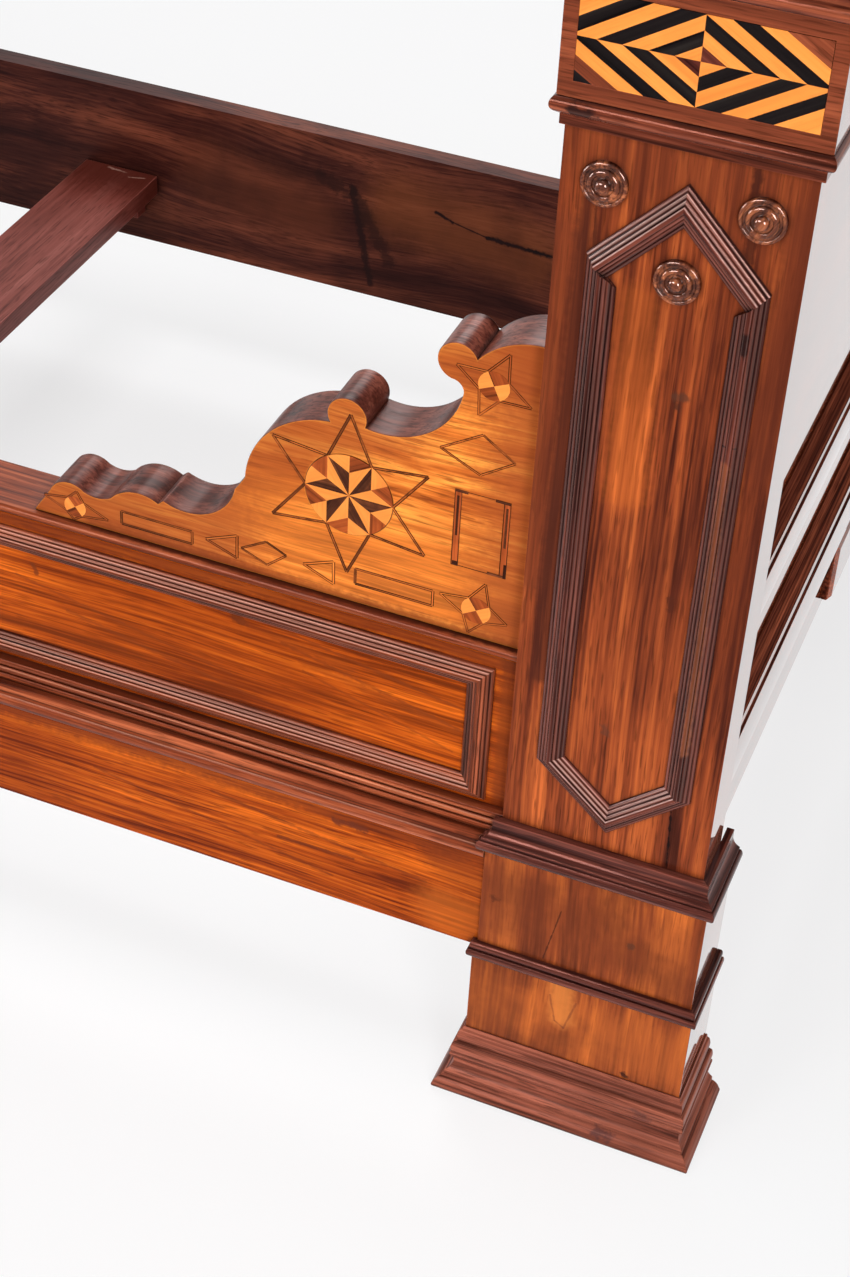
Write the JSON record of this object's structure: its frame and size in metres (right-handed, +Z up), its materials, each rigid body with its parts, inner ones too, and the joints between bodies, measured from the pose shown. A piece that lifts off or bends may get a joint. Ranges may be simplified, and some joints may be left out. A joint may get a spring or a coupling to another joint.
{
  "type": "wooden bed",
  "caption": "Walnut bed frame with pilaster posts, reeded mouldings, shaped inlaid brackets, a panelled show rail, a plain back rail and loose slats that lift out.",
  "frame": {"origin": "on the floor under the middle of the bed", "axes": "+X along the bed towards the foot, +Y towards the plain wall side, +Z up"},
  "size_m": [2.22, 1.132, 1.15],
  "materials": {
    "walnut": "French-polished walnut",
    "moulding_walnut": "darker polished walnut mouldings",
    "dark_walnut": "dark stained walnut, satin",
    "slat_wood": "reddish brown, dull",
    "inlay": "satinwood and ebony veneers, polished"
  },
  "bodies": {
    "frame": {"far_rail": "dark_walnut", "foot_cap": "walnut", "foot_cross_mouldings": "moulding_walnut", "foot_far_base_moulding": "moulding_walnut", "foot_far_frieze_casing": "walnut", "foot_far_frieze_mouldings": "moulding_walnut", "foot_far_plinth_casing": "walnut", "foot_far_plinth_mouldings": "moulding_walnut", "foot_far_post": "walnut", "foot_frieze_rail": "walnut", "foot_near_base_moulding": "moulding_walnut", "foot_near_bosses": "moulding_walnut", "foot_near_bracket": "walnut", "foot_near_frieze_casing": "walnut", "foot_near_frieze_mouldings": "moulding_walnut", "foot_near_hexagon_moulding": "moulding_walnut", "foot_near_marquetry": "inlay", "foot_near_plinth_casing": "walnut", "foot_near_plinth_mouldings": "moulding_walnut", "foot_near_post": "walnut", "foot_near_star_inlay": "inlay", "foot_panel": "walnut", "foot_tablet": "walnut", "head_cap": "walnut", "head_cross_mouldings": "moulding_walnut", "head_far_base_moulding": "moulding_walnut", "head_far_frieze_casing": "walnut", "head_far_frieze_mouldings": "moulding_walnut", "head_far_plinth_casing": "walnut", "head_far_plinth_mouldings": "moulding_walnut", "head_far_post": "walnut", "head_frieze_rail": "walnut", "head_near_base_moulding": "moulding_walnut", "head_near_bosses": "moulding_walnut", "head_near_bracket": "walnut", "head_near_frieze_casing": "walnut", "head_near_frieze_mouldings": "moulding_walnut", "head_near_hexagon_moulding": "moulding_walnut", "head_near_marquetry": "inlay", "head_near_plinth_casing": "walnut", "head_near_plinth_mouldings": "moulding_walnut", "head_near_post": "walnut", "head_near_star_inlay": "inlay", "head_panel": "walnut", "head_tablet": "walnut", "near_rail_cap": "moulding_walnut", "near_rail_front_board": "walnut", "near_rail_inner_board": "dark_walnut", "near_rail_ovolo": "moulding_walnut", "near_rail_panel_frame": "moulding_walnut", "near_rail_reeds": "moulding_walnut", "near_rail_skirt": "walnut", "rail_pegs": "slat_wood", "slat_cleats": "slat_wood"},
    "slat_head": {"slat_head": "slat_wood"},
    "slat_middle": {"slat_middle": "slat_wood"},
    "slat_foot": {"slat_foot": "slat_wood"}
  },
  "joints": [
    {"name": "slat_head_lift", "type": "slide", "parent": "frame", "child": "slat_head", "axis": [0, 0, 1], "range_m": [0, 0.3]},
    {"name": "slat_middle_lift", "type": "slide", "parent": "frame", "child": "slat_middle", "axis": [0, 0, 1], "range_m": [0, 0.3]},
    {"name": "slat_foot_lift", "type": "slide", "parent": "frame", "child": "slat_foot", "axis": [0, 0, 1], "range_m": [0, 0.3]}
  ]
}
